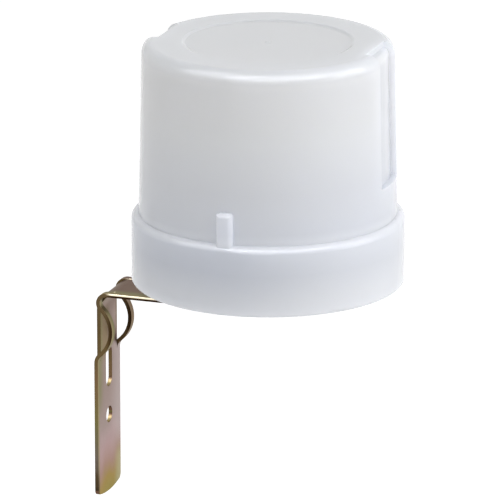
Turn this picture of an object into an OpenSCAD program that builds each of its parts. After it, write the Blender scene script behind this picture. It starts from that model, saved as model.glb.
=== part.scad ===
// Photocell switch: a translucent cup on a round base, held out from the wall by a folded strip.
// Lengths are in millimetres and +Z is up. The origin is the centre of the round fixing hole, on
// the face of the strip that lies against the wall, and the cover stands out from it along +X.

/* [Cover] */
// Outside diameter of the skirt
skirt_d = 70; // [66:0.5:80]
// Height of the skirt, from the rim to the shoulder
skirt_h = 18.3; // [16:0.1:22]
// Height of the whole cover, from the rim to the top
cover_h = 63; // [58:0.5:80]
// Step from the skirt in to the body at the shoulder
ledge_w = 1.9; // [1.6:0.1:3]
// Loss of radius of the body between the shoulder and the top
body_draft = 0.9; // [0.3:0.1:2]
// Thickness of the cover's wall
wall = 2; // [1.6:0.1:2.4]
// Rounding of the top edge
top_round = 3; // [2:0.1:5]
// Rounding of the shoulder
shoulder_round = 1.8; // [1:0.1:3]
// Rounding of the rim's outer edge
rim_round = 0.9; // [0.3:0.1:1.5]
// Diameter of the shallow recess on the top
recess_d = 44; // [30:0.5:48]
// Depth of the recess on the top
recess_depth = 0.35; // [0.1:0.05:0.6]
// Width of the recess's sloping edge
recess_edge = 0.8; // [0.3:0.1:2]
// Diameter of the gate's mark in the middle of the recess
gate_d = 1.8; // [1:0.1:3]
// Height of the gate's mark
gate_h = 0.2; // [0.1:0.05:0.3]

/* [Grooves and tab] */
// Width of each groove
groove_w = 15.2; // [8:0.1:16]
// Distance of each groove's middle from the middle plane, away from the tab
groove_y = 2; // [0:0.1:4]
// Depth of each groove
groove_depth = 1.6; // [1:0.1:2]
// Distance from the axis at which a groove starts on the top
groove_start = 27.8; // [25:0.1:28]
// Height of a groove's lower end above the rim
groove_end = 28.2; // [24:0.1:45]
// Width of the tab on the shoulder
tab_w = 4.5; // [3:0.1:8]
// Height of the tab above the shoulder
tab_h = 8.2; // [4:0.1:12]
// Distance that the tab's face stands back from the skirt
tab_back = 0.4; // [0.2:0.1:0.8]
// Rounding of the tab's edges
tab_round = 1.1; // [0.3:0.1:1.1]

/* [Base] */
// Clearance between the base and the skirt
base_gap = 0.2; // [0.1:0.05:0.4]
// Distance from the rim up to the underside of the base
base_recess = 1.5; // [1.3:0.1:3]
// Thickness of the base's floor
floor_t = 2.2; // [1.8:0.1:3]
// Thickness of the base's upright rim
base_rim_t = 1.8; // [1.4:0.1:2.6]
// Radius of the snap bead around the base
bead_r = 0.7; // [0.5:0.05:0.9]
// Distance that the bead stands out from the base
bead_out = 0.5; // [0.3:0.05:0.6]
// Height of the snap bead above the rim
bead_h = 10; // [7:0.5:12]
// Diameter of the boss that the bracket is screwed to
boss_d = 16; // [13:0.5:18]
// Length of the boss below the base
boss_drop = 7.3; // [5:0.1:9]
// Number of ribs around the boss
rib_count = 6; // [4:1:8]
// Thickness of a rib
rib_t = 1.6; // [1:0.1:2.4]
// Distance from the axis to a rib's outer end
rib_reach = 14; // [12:0.5:15]
// Distance from the base's edge to the middle of the cable outlet
outlet_inset = 10.8; // [9.8:0.1:11.3]
// Bore of the grommet
grommet_bore = 6.4; // [4:0.1:7]
// Wall of the grommet's neck
grommet_wall = 1.4; // [1:0.1:1.8]
// Overhang and thickness of the grommet's flanges
grommet_flange = 1.2; // [0.8:0.1:1.2]
// Clearance of the grommet's neck in the base
grommet_gap = 0.1; // [0.05:0.05:0.2]

/* [Bracket] */
// Thickness of the sheet
sheet = 1; // [0.8:0.1:1.5]
// Width of the strip
strip_w = 16.5; // [16:0.5:24]
// Distance from the wall to the cover's axis
reach = 44.7; // [42:0.1:60]
// Inside radius of the bend between the strands
bend_r = 4.2; // [3:0.1:6]
// Length of the leg, from the top of the arm to its lowest point
leg_l = 56; // [52:0.1:80]
// Radius of the leg's curved end
end_r = 32; // [25:0.5:60]
// Rounding of the leg's two lower corners
corner_r = 1.5; // [0.5:0.1:4]
// Diameter of the fixing hole
hole_d = 4.4; // [4:0.1:6]
// Distance from the top of the arm down to the fixing hole
hole_drop = 35.3; // [34:0.1:40]
// Width of the slot
slot_w = 4.5; // [4:0.1:6]
// Length of the slot
slot_l = 11; // [9:0.5:12]
// Distance from the fixing hole up to the slot's lower end
slot_rise = 7.7; // [5.5:0.1:8]
// Width of each edge strand
strand_w = 2; // [1.5:0.1:3]
// Radius of each strand's arch
strand_r = 8.2; // [7:0.1:10]
// Height of each strand's arch
strand_out = 4; // [3:0.1:5]
// Radius of the bend at a strand's foot
strand_bend = 3; // [2:0.1:3.5]
// Inside radius of a strand's fold out of the arm
fold_r = 1.8; // [1:0.1:2]
// Distance that a strand's fold stands off the wall
fold_back = 0.6; // [0.2:0.1:0.8]
// Slit between a strand and the middle of the strip
slit = 0.2; // [0.1:0.05:0.4]

/* [Fasteners] */
// Diameter of the bracket screw
screw_d = 4; // [3:0.1:4.5]
// Length of the bracket screw's shank
screw_l = 12; // [11:0.5:14]
// Diameter of the bracket screw's head
screw_head_d = 8; // [7:0.1:9]
// Height of the bracket screw's head
screw_head_h = 2.4; // [1.8:0.1:3]
// Clearance around the bracket screw
screw_gap = 0.25; // [0.1:0.05:0.5]
// Clearance across the flats of the nut in its pocket
nut_gap = 0.2; // [0.1:0.05:0.4]
// Outside diameter of the spring washer
washer_d = 7; // [6.4:0.1:7.6]
// Thickness of the spring washer
washer_t = 0.9; // [0.6:0.1:1.2]
// Width across the flats of the nut
nut_flats = 7; // [6.5:0.1:8]
// Height of the nut
nut_h = 3.2; // [2.4:0.1:4]
// Diameter of the board screws
tapping_d = 2.4; // [2:0.1:3]
// Length of the board screws' shanks
tapping_l = 6; // [4:0.5:6.5]
// Diameter of the board screws' heads
tapping_head_d = 4.6; // [4:0.1:5.2]
// Height of the board screws' heads
tapping_head_h = 1.6; // [1.2:0.1:2]
// Play between a screw and what it is driven into
thread_gap = 0.04; // [0.02:0.01:0.1]

/* [Circuit board] */
// Diameter of the board
board_d = 50; // [49:0.5:54]
// Thickness of the board
board_t = 1.6; // [1.2:0.1:2]
// Distance from the board's edge to its screws
board_inset = 4; // [3.5:0.1:4.5]
// Height of the posts that carry the board
post_h = 5.3; // [5:0.1:8]
// Diameter of the posts
post_d = 6; // [5:0.1:7]
// Diameter of a component's lead
lead_d = 0.7; // [0.5:0.05:0.8]
// Play of a lead in the board
lead_gap = 0.1; // [0.05:0.05:0.2]
// Length of a lead below the board
lead_tail = 1.3; // [1:0.1:2]
// Height of a soldered joint
solder_h = 0.9; // [0.6:0.1:1]
// Diameter of a soldered joint at the board
solder_d = 1.8; // [1.5:0.1:1.9]

/* [Components] */
// Length, width and height of the relay's case
relay_size = [19, 15.5, 15.3]; // [8:0.1:24]
// Length, width and height of the dropper capacitor
dropper_size = [18, 7.5, 14]; // [6:0.1:24]
// Diameter of the smoothing capacitor
smoothing_d = 10; // [8:0.1:11]
// Height of the smoothing capacitor
smoothing_h = 16; // [10:0.5:22]
// Diameter of the rectifier diodes
diode_d = 2.7; // [2:0.1:3]
// Length of the rectifier diodes
diode_l = 5.2; // [4:0.1:6]
// Diameter of the zener diode
zener_d = 1.9; // [1.5:0.1:2.5]
// Length of the zener diode
zener_l = 3.9; // [3:0.1:4.2]
// Diameter of the resistors
resistor_d = 2.3; // [1.6:0.1:2.5]
// Length of the resistors
resistor_l = 6.3; // [5:0.1:7]
// Diameter of the transistor
transistor_d = 4.6; // [4:0.1:5]
// Height of the transistor
transistor_h = 4.6; // [4:0.1:6]
// Diameter of the varistor
varistor_d = 10; // [7:0.1:12]
// Thickness of the varistor
varistor_t = 3.6; // [3:0.1:4]
// Diameter of the light sensor
sensor_d = 9; // [7:0.1:10]
// Thickness of the light sensor
sensor_t = 2; // [1.5:0.1:3]
// Thickness of the light sensor's window
window_t = 0.8; // [0.5:0.1:1.2]
// Distance from the top of the cover down to the light sensor
sensor_drop = 20; // [12:0.5:22]
// Wall of the sleeves on the light sensor's leads
sleeve_wall = 0.4; // [0.3:0.05:0.5]
// Diameter of a wire eyelet's hole
eyelet_bore = 1.8; // [1.2:0.1:2]
// Thickness of a wire eyelet's wall
eyelet_wall = 0.3; // [0.2:0.05:0.4]

/* [Hidden] */
$fn = 96;
// How far a cutting shape runs past the face that it opens
overcut = 1;
// Smallest rounding left where a wall's thickness uses up the outer one
least_round = 0.4;
// How far the top rounding stands proud of the sloping side, so that the two cross cleanly
blend = 0.0005;

// Heights about the cover's axis, with the rim at 0
skirt_r = skirt_d / 2;
body_r = skirt_r - ledge_w;
draft = atan(body_draft / (cover_h - skirt_h));
shoulder_r = min(shoulder_round, ledge_w);
stop_z = skirt_h - wall;
base_r = skirt_r - wall - base_gap;
outlet_x = base_r - outlet_inset;
floor_z = base_recess + floor_t;
arm_z = base_recess - boss_drop;
hole_z = arm_z - hole_drop;
board_z = floor_z + post_h;
board_top = board_z + board_t;
post_circle = board_d / 2 - board_inset;
post_angles = [90, 210, 330];
sensor_z = cover_h - sensor_drop;

// The strip's bend and strands
bend_out = bend_r + sheet;
wall_x = -reach;
leg_mid_x = wall_x + sheet / 2;
leg_top = arm_z - bend_out;
leg_end = arm_z - leg_l;
corner_y = strip_w / 2 - corner_r;
corner_z = leg_end + end_r - sqrt(pow(end_r - corner_r, 2) - corner_y * corner_y);
end_half = corner_y * end_r / (end_r - corner_r);
slot_low = hole_z + slot_rise;
mid_w = strip_w - 2 * (strand_w + slit);
fold_mid = fold_r + sheet / 2;
fold_out = strand_out - fold_back;
fold_z = arm_z - sheet / 2 - fold_mid;
high_rise = sqrt(fold_out * (2 * (strand_r + fold_mid) - fold_out));
low_rise = sqrt(strand_out * (2 * (strand_r + strand_bend) - strand_out));
high_turn = asin(high_rise / (strand_r + fold_mid));
low_turn = asin(low_rise / (strand_r + strand_bend));
foot_z = fold_z - high_rise - low_rise;
strand_root = 0.5;
strand_steps = 12;

// Places of the components on the board
relay_at = [-11, 4];
dropper_at = [-3, -12];
smoothing_at = [8, 13];
varistor_at = [0, -20.2];
transistor_at = [10.5, -14.5];
sensor_at = [16.6, -1.6];
diode_x = 8;
diode_rows = [-4.5, -1, 2.5, 6];
zener_at = [11, -8.4];
resistor_places = [[[16.8, 9], 90], [[-9, 15.4], 0], [[-7, -5.9], 0]];
eyelet_places = [[20.6, -4.5], [21, 0], [20.6, 4.5]];
relay_pin_offsets = [[-7.5, 0], [-5, 6], [-5, -6], [7, 6], [7, -6]];

// Distances between a component's leads
dropper_pitch = 15;
smoothing_pitch = 5;
varistor_pitch = 5;
transistor_pitch = 2;
sensor_pitch = 3.4;
diode_pitch = 10;
zener_pitch = 7.5;
resistor_pitch = 10;

// How components stand off the board, and the bend of their leads
axial_lift = 0.3;
transistor_lift = 2;
varistor_lift = 1;
varistor_root = 2;
lead_bend = 1;
eyelet_lip = 0.3;
eyelet_rim = 0.7;
solder_tip = 0.2;
window_edge = 0.2;
resistor_waist = 0.15;
resistor_cap = 1.8;
// Shares of a screw head: its upright rim, and the length and width of its cross recess
head_rim = 0.3;
cross_l = 0.55;
cross_w = 0.13;

// The two ends of a lead span that is centred on a place and turned by an angle
function span_ends(at, pitch, turn) =
  [for (side = [-1, 1]) at + side * pitch / 2 * [cos(turn), sin(turn)]];
dropper_pads = span_ends(dropper_at, dropper_pitch, 0);
smoothing_pads = span_ends(smoothing_at, smoothing_pitch, 0);
varistor_pads = span_ends(varistor_at, varistor_pitch, 0);
sensor_pads = span_ends(sensor_at, sensor_pitch, 90);
zener_pads = span_ends(zener_at, zener_pitch, 0);
diode_pads = [for (y = diode_rows) each span_ends([diode_x, y], diode_pitch, 0)];
resistor_pads = [for (place = resistor_places) each span_ends(place[0], resistor_pitch, place[1])];
transistor_pads = [for (step = [-1:1]) transistor_at + step * [transistor_pitch, 0]];
relay_pads = [for (offset = relay_pin_offsets) relay_at + offset];
all_pads = concat(dropper_pads, smoothing_pads, varistor_pads, sensor_pads, zener_pads, diode_pads,
  resistor_pads, transistor_pads, relay_pads);

// Height of the axis of a round body that lies on the board
function lie_h(d) = axial_lift + d / 2;

// Points on an arc about a centre, from one of its steps to the last
function arc(centre, r, from, to, first, last) = [
  for (i = [first:last])
    let (angle = from + (to - from) * i / last)
    centre + r * [cos(angle), sin(angle)]
];

// One face of a strand seen from the side, from its foot on the leg to its root in the arm
function strand_edge(out) = let (
    face = out * sheet / 2,
    foot = [leg_mid_x + strand_bend, foot_z],
    arch = [leg_mid_x + strand_out - strand_r, foot_z + low_rise],
    fold = [leg_mid_x + fold_back + fold_mid, fold_z]
  ) concat(
    [[leg_mid_x + face, foot_z - strand_root]],
    arc(foot, strand_bend - face, 180, 180 - low_turn, 0, strand_steps),
    arc(arch, strand_r + face, -low_turn, high_turn, 1, 2 * strand_steps),
    arc(fold, fold_mid - face, 180 + high_turn, 90, 1, 2 * strand_steps),
    [[wall_x + bend_out + strand_root, arm_z - sheet / 2 - face]]
  );

// The same list the other way round
function reversed(list) = [for (i = [len(list) - 1:-1:0]) list[i]];

// Radius of the body's side at height z, moved in by an inset
function side_r(inset, z) = body_r - inset / cos(draft) - (z - skirt_h) * tan(draft);

// Puts what is drawn about the cover's axis, with the rim at height 0, in the part's own frame
module in_place() {
  translate([reach, 0, -hole_z]) children();
}

// Puts a copy at each place on a list, at height z
module at_each(places, z) {
  for (place = places) translate([place[0], place[1], z]) children();
}

// Puts a copy at each screw of the board, at height z
module at_posts(z) {
  for (angle = post_angles) rotate(angle) translate([post_circle, 0, z]) children();
}

// A rectangle on the X axis with its two upper corners rounded
module round_top(w, h, r) {
  translate([-w / 2, 0]) square([w, h - r]);
  translate([r - w / 2, 0]) square([w - 2 * r, h]);
  for (side = [-1, 1]) translate([side * (w / 2 - r), h - r]) circle(r);
}

// Half outline of the skirt, with its rim and shoulder rounded
module skirt_half() {
  square([skirt_r - rim_round, skirt_h / 2]);
  translate([0, skirt_h / 2]) square([skirt_r - shoulder_r, skirt_h / 2]);
  translate([0, rim_round]) square([skirt_r, skirt_h - rim_round - shoulder_r]);
  translate([skirt_r - rim_round, rim_round]) circle(rim_round);
  translate([skirt_r - shoulder_r, skirt_h - shoulder_r]) circle(shoulder_r);
}

// Half outline of the body from height foot up, moved in by an inset, with its top edge rounded
module body_half(inset, foot) {
  top_z = cover_h - inset;
  r = max(top_round - inset, least_round);
  round_z = top_z - r;
  round_x = side_r(inset, round_z) - r / cos(draft);
  side_end = [round_x + r * cos(draft), round_z + r * sin(draft)];
  polygon([[0, foot], [side_r(inset, foot), foot], side_end, [round_x, top_z], [0, top_z]]);
  translate([round_x + blend, round_z]) circle(r);
}

// Half outline of the shallow recess on the top
module recess_half() {
  recess_r = recess_d / 2;
  recess_z = cover_h - recess_depth;
  polygon([
    [0, recess_z], [recess_r - recess_edge, recess_z], [recess_r, cover_h],
    [recess_r, cover_h + overcut], [0, cover_h + overcut]
  ]);
}

// The groove on +X, grown on every side but the outer one
module groove_block(grow) {
  low = [groove_start - grow, groove_y - groove_w / 2 - grow, groove_end - grow];
  high = [skirt_r, groove_y + groove_w / 2 + grow, cover_h + overcut];
  difference() {
    translate(low) cube(high - low);
    rotate_extrude() body_half(groove_depth + grow, stop_z);
  }
}

// Both grooves, grown on every side but the outer one
module grooves(grow) {
  groove_block(grow);
  mirror([1, 0, 0]) groove_block(grow);
}

// The cover's hollow, with the snap groove for the base, around the walls of the two grooves
module cover_hollow() {
  difference() {
    rotate_extrude() {
      translate([0, -overcut]) square([skirt_r - wall, stop_z + overcut]);
      body_half(wall, stop_z - overcut);
      translate([base_r + bead_out - bead_r, bead_h]) circle(bead_r + base_gap);
    }
    grooves(wall);
  }
}

// The tab that stands on the shoulder at -Y, rounded as seen from the front, the side and above
module tab() {
  root_r = body_r - wall / 2;
  depth = skirt_r - tab_back - root_r;
  foot = skirt_h - shoulder_r;
  h = skirt_h + tab_h - foot;
  intersection() {
    translate([0, -root_r, foot]) rotate([90, 0, 0]) linear_extrude(depth)
      round_top(tab_w, h, tab_round);
    translate([-tab_w / 2, -root_r, foot]) rotate([90, 0, 90]) linear_extrude(tab_w)
      round_top(2 * depth, h, tab_round);
    translate([0, -root_r, foot]) rotate(180) linear_extrude(h)
      round_top(tab_w, depth, tab_round);
  }
}

module cover() {
  color("whitesmoke") in_place() {
    difference() {
      union() {
        rotate_extrude() {
          skirt_half();
          body_half(0, skirt_h - shoulder_r);
        }
        tab();
      }
      cover_hollow();
      rotate_extrude() recess_half();
      grooves(0);
    }
    translate([0, 0, cover_h - recess_depth]) cylinder(d1 = gate_d, d2 = gate_d / 2, h = gate_h);
  }
}

// Half outline of the base: floor, upright rim and snap bead
module base_half() {
  difference() {
    translate([0, base_recess]) square([base_r, stop_z - base_recess]);
    translate([0, floor_z]) square([base_r - base_rim_t, stop_z]);
  }
  translate([base_r + bead_out - bead_r, bead_h]) circle(bead_r);
}

// A rib that braces the boss against the floor of the base
module boss_rib() {
  boss_r = boss_d / 2;
  rotate([90, 0, 0]) linear_extrude(rib_t, center = true) polygon([
    [0, floor_z], [rib_reach, floor_z], [rib_reach, base_recess - rib_t / 2],
    [boss_r + rib_t / 2, arm_z + rib_t], [0, arm_z + rib_t]
  ]);
}

// A hexagon by its width across the flats
module hexagon(flats) {
  circle(d = flats / cos(30), $fn = 6);
}

module base() {
  pilot_l = tapping_l - board_t + thread_gap;
  color("gainsboro") in_place() difference() {
    union() {
      rotate_extrude() base_half();
      translate([0, 0, arm_z]) cylinder(d = boss_d, h = floor_z - arm_z);
      for (i = [0:rib_count - 1]) rotate((i + 0.5) * 360 / rib_count) boss_rib();
      at_posts(floor_z - overcut) cylinder(d = post_d, h = post_h + overcut);
    }
    translate([0, 0, arm_z - overcut]) cylinder(d = screw_d + 2 * screw_gap, h = floor_z - arm_z);
    translate([0, 0, floor_z - nut_h]) linear_extrude(nut_h + overcut) hexagon(nut_flats + nut_gap);
    translate([outlet_x, 0, 0]) cylinder(d = grommet_bore + 2 * grommet_wall, h = floor_z + overcut);
    at_posts(board_z - pilot_l) cylinder(d = tapping_d + 2 * thread_gap, h = pilot_l + overcut);
  }
}

module cable_grommet() {
  neck_r = grommet_bore / 2 + grommet_wall - grommet_gap;
  flange_r = grommet_bore / 2 + grommet_wall + grommet_flange;
  color("dimgray") in_place() translate([outlet_x, 0, base_recess - grommet_flange]) difference() {
    union() {
      cylinder(r = neck_r, h = floor_t + 2 * grommet_flange);
      for (z = [0, floor_t + grommet_flange]) translate([0, 0, z]) cylinder(r = flange_r, h = grommet_flange);
    }
    translate([0, 0, -overcut]) cylinder(d = grommet_bore, h = floor_t + 2 * grommet_flange + 2 * overcut);
  }
}

// The bend between the arm and the leg, between the strands
module bend() {
  translate([wall_x + bend_out, 0, leg_top]) rotate([90, 0, 0]) rotate_extrude(angle = 90, start = 90)
    translate([bend_r, -mid_w / 2]) square([sheet, mid_w]);
}

// The flat arm under the boss, with its round end about the screw
module arm() {
  translate([0, 0, arm_z - sheet]) linear_extrude(sheet) difference() {
    union() {
      translate([wall_x + bend_out, -strip_w / 2]) square([reach - bend_out, strip_w]);
      circle(d = strip_w);
    }
    circle(d = screw_d + 2 * screw_gap);
  }
}

// Outline of the leg with its curved end, hole, slot and the windows that the strands leave
module leg_outline() {
  difference() {
    union() {
      translate([-strip_w / 2, corner_z]) square([strip_w, leg_top - corner_z]);
      for (side = [-1, 1]) translate([side * corner_y, corner_z]) circle(corner_r);
      intersection() {
        translate([0, leg_end + end_r]) circle(end_r);
        translate([-end_half, leg_end]) square([2 * end_half, corner_r + corner_z - leg_end]);
      }
    }
    translate([0, hole_z]) circle(d = hole_d);
    for (z = [slot_low + slot_w / 2, slot_low + slot_l - slot_w / 2]) translate([0, z]) circle(d = slot_w);
    translate([-slot_w / 2, slot_low + slot_w / 2]) square([slot_w, slot_l - slot_w]);
    for (side = [-1, 1]) translate([side * strip_w / 2 - strand_w - slit, foot_z])
      square([2 * (strand_w + slit), leg_top - foot_z + overcut]);
  }
}

// An edge strand, folded out of the arm and pressed out of the leg in one arch
module strand(y) {
  translate([0, y, 0]) rotate([90, 0, 0]) linear_extrude(strand_w, center = true)
    polygon(concat(strand_edge(1), reversed(strand_edge(-1))));
}

module bracket() {
  color("tan") in_place() {
    arm();
    bend();
    translate([wall_x, 0, 0]) rotate([90, 0, 90]) linear_extrude(sheet) leg_outline();
    for (side = [-1, 1]) strand(side * (strip_w - strand_w) / 2);
  }
}

// A pan head that hangs below height 0, with a cross recess in its crown
module pan_head(d, h) {
  crown_h = h * (1 - head_rim);
  crown_r = (d * d / 4 + crown_h * crown_h) / (2 * crown_h);
  recess = [cross_l * d, cross_w * d, h / 2 + overcut];
  difference() {
    intersection() {
      translate([0, 0, -h]) cylinder(d = d, h = h);
      translate([0, 0, crown_r - h]) sphere(crown_r);
    }
    for (turn = [0, 90]) rotate(turn) translate([-recess[0] / 2, -recess[1] / 2, -h - overcut]) cube(recess);
  }
}

module bracket_screw() {
  color("silver") in_place() translate([0, 0, arm_z - sheet - washer_t]) {
    cylinder(d = screw_d, h = screw_l);
    pan_head(screw_head_d, screw_head_h);
  }
}

module spring_washer() {
  inner_r = screw_d / 2 + screw_gap / 2;
  split = 10;
  color("gray") in_place() translate([0, 0, arm_z - sheet - washer_t])
    rotate_extrude(angle = 360 - split, start = split / 2)
      translate([inner_r, 0]) square([washer_d / 2 - inner_r, washer_t]);
}

module bracket_nut() {
  color("silver") in_place() translate([0, 0, floor_z - nut_h]) linear_extrude(nut_h) difference() {
    hexagon(nut_flats);
    circle(d = screw_d + 2 * thread_gap);
  }
}

module circuit_board() {
  color("peru") in_place() translate([0, 0, board_z]) linear_extrude(board_t) difference() {
    circle(d = board_d);
    for (angle = post_angles) rotate(angle) translate([post_circle, 0]) circle(d = tapping_d + 2 * lead_gap);
    for (pad = all_pads) translate(pad) circle(d = lead_d + 2 * lead_gap);
    for (place = eyelet_places) translate(place) circle(d = eyelet_bore + 2 * eyelet_wall + lead_gap);
  }
}

module board_screws() {
  color("silver") in_place() at_posts(board_top) mirror([0, 0, 1]) {
    cylinder(d = tapping_d, h = tapping_l);
    pan_head(tapping_head_d, tapping_head_h);
  }
}

module wire_eyelets() {
  outer_d = eyelet_bore + 2 * eyelet_wall;
  lip_d = outer_d + 2 * eyelet_rim;
  color("goldenrod") in_place() at_each(eyelet_places, board_z - eyelet_lip) difference() {
    union() {
      cylinder(d = outer_d, h = board_t + 2 * eyelet_lip);
      for (z = [0, board_t + eyelet_lip]) translate([0, 0, z]) cylinder(d = lip_d, h = eyelet_lip);
    }
    translate([0, 0, -overcut]) cylinder(d = eyelet_bore, h = board_t + 2 * eyelet_lip + 2 * overcut);
  }
}

module solder_joints() {
  color("lightgray") in_place() at_each(all_pads, board_z - solder_h) difference() {
    cylinder(d1 = lead_d + solder_tip, d2 = solder_d, h = solder_h);
    translate([0, 0, -overcut]) cylinder(d = lead_d, h = solder_h + 2 * overcut);
  }
}

// Straight leads from height top down through the board
module straight_leads(pads, top) {
  tip = board_z - lead_tail;
  color("silver") in_place() at_each(pads, tip) cylinder(d = lead_d, h = top - tip);
}

// A lead that leaves a body's end along +X, bends and goes down through the board
module bent_lead(run, drop) {
  rotate([0, 90, 0]) cylinder(d = lead_d, h = run - lead_bend);
  translate([run - lead_bend, 0, -lead_bend]) rotate([90, 0, 0]) rotate_extrude(angle = 90)
    translate([lead_bend, 0]) circle(d = lead_d);
  translate([run, 0, -drop]) cylinder(d = lead_d, h = drop - lead_bend);
}

// Both leads of a body that lies along X at the origin
module axial_leads(body_d, body_l, pitch) {
  drop = lie_h(body_d) + board_t + lead_tail;
  for (side = [0, 180]) rotate(side) translate([body_l / 2, 0, lie_h(body_d)])
    bent_lead((pitch - body_l) / 2, drop);
}

// A round body that lies along X at the origin, with its axis at height h
module axial_body(body_d, body_l, h) {
  translate([0, 0, h]) rotate([0, 90, 0]) cylinder(d = body_d, h = body_l, center = true);
}

// A box with its upright edges rounded, standing on the board
module upright_box(at, size, r) {
  inner = [size[0] - 2 * r, size[1] - 2 * r];
  translate([at[0], at[1], board_top]) linear_extrude(size[2]) {
    square([size[0], inner[1]], center = true);
    square([inner[0], size[1]], center = true);
    for (x = [-1, 1], y = [-1, 1]) translate([x * inner[0] / 2, y * inner[1] / 2]) circle(r);
  }
}

module relay_case() {
  edge_r = 0.8;
  color("royalblue") in_place() upright_box(relay_at, relay_size, edge_r);
}

module relay_pins() {
  straight_leads(relay_pads, board_top);
}

module dropper_capacitor() {
  edge_r = 1.2;
  color("firebrick") in_place() upright_box(dropper_at, dropper_size, edge_r);
}

module dropper_leads() {
  straight_leads(dropper_pads, board_top);
}

module smoothing_capacitor() {
  can_r = smoothing_d / 2;
  crimp = 0.5;
  crimp_h = 2;
  edge_r = 0.8;
  color("midnightblue") in_place() translate([smoothing_at[0], smoothing_at[1], board_top])
    rotate_extrude() difference() {
      union() {
        square([can_r, smoothing_h - edge_r]);
        square([can_r - edge_r, smoothing_h]);
        translate([can_r - edge_r, smoothing_h - edge_r]) circle(edge_r);
      }
      translate([can_r, crimp_h]) circle(crimp);
    }
}

module smoothing_leads() {
  straight_leads(smoothing_pads, board_top);
}

module rectifier_diodes() {
  color("black") in_place() for (y = diode_rows) translate([diode_x, y, board_top])
    axial_body(diode_d, diode_l, lie_h(diode_d));
}

module rectifier_leads() {
  color("silver") in_place() for (y = diode_rows) translate([diode_x, y, board_top])
    axial_leads(diode_d, diode_l, diode_pitch);
}

module zener_diode() {
  color("orangered") in_place() translate([zener_at[0], zener_at[1], board_top])
    axial_body(zener_d, zener_l, lie_h(zener_d));
}

module zener_leads() {
  color("silver") in_place() translate([zener_at[0], zener_at[1], board_top])
    axial_leads(zener_d, zener_l, zener_pitch);
}

// Puts a copy at each resistor's place on the board, turned along it
module at_resistors() {
  for (place = resistor_places) translate([place[0][0], place[0][1], board_top]) rotate(place[1]) children();
}

module resistors() {
  axis_h = lie_h(resistor_d);
  color("burlywood") in_place() at_resistors() {
    axial_body(resistor_d - 2 * resistor_waist, resistor_l, axis_h);
    for (side = [-1, 1]) translate([side * (resistor_l - resistor_cap) / 2, 0, 0])
      axial_body(resistor_d, resistor_cap, axis_h);
  }
}

module resistor_leads() {
  color("silver") in_place() at_resistors() axial_leads(resistor_d, resistor_l, resistor_pitch);
}

module transistor() {
  flat_y = transistor_d / 4;
  color("black") in_place() translate([transistor_at[0], transistor_at[1], board_top + transistor_lift])
    linear_extrude(transistor_h) difference() {
      circle(d = transistor_d);
      translate([-transistor_d, -transistor_d - flat_y]) square([2 * transistor_d, transistor_d]);
    }
}

module transistor_leads() {
  straight_leads(transistor_pads, board_top + transistor_lift);
}

module varistor() {
  varistor_z = board_top + varistor_lift + varistor_d / 2;
  color("steelblue") difference() {
    in_place() translate([varistor_at[0], varistor_at[1], varistor_z]) rotate([90, 0, 0])
      cylinder(d = varistor_d, h = varistor_t, center = true);
    varistor_leads();
  }
}

module varistor_leads() {
  straight_leads(varistor_pads, board_top + varistor_lift + varistor_root);
}

module light_sensor() {
  color("linen") in_place() translate([sensor_at[0], sensor_at[1], sensor_z])
    cylinder(d = sensor_d, h = sensor_t);
}

module sensor_window() {
  color("orange") in_place() translate([sensor_at[0], sensor_at[1], sensor_z + sensor_t])
    cylinder(d = sensor_d - 2 * window_edge, h = window_t);
}

module sensor_leads() {
  straight_leads(sensor_pads, sensor_z);
}

module sensor_sleeves() {
  bore = lead_d + 2 * lead_gap;
  sleeve_l = sensor_z - board_top - sleeve_wall;
  color("black") in_place() at_each(sensor_pads, board_top) linear_extrude(sleeve_l) difference() {
    circle(d = bore + 2 * sleeve_wall);
    circle(d = bore);
  }
}

cover();
base();
cable_grommet();
bracket();
bracket_screw();
spring_washer();
bracket_nut();
circuit_board();
board_screws();
wire_eyelets();
solder_joints();
relay_case();
relay_pins();
dropper_capacitor();
dropper_leads();
smoothing_capacitor();
smoothing_leads();
rectifier_diodes();
rectifier_leads();
zener_diode();
zener_leads();
resistors();
resistor_leads();
transistor();
transistor_leads();
varistor();
varistor_leads();
light_sensor();
sensor_window();
sensor_leads();
sensor_sleeves();
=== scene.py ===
"""Looks of a photocell switch: its finishes, the marks painted on its components, and a studio.

Lengths are in metres, in the part's own frame: +Z is up, the centre of the fixing hole is the
origin, and the cover stands out from the wall along +X.
"""

import logging
import math
from dataclasses import dataclass
from enum import Enum
from typing import ClassVar

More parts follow.
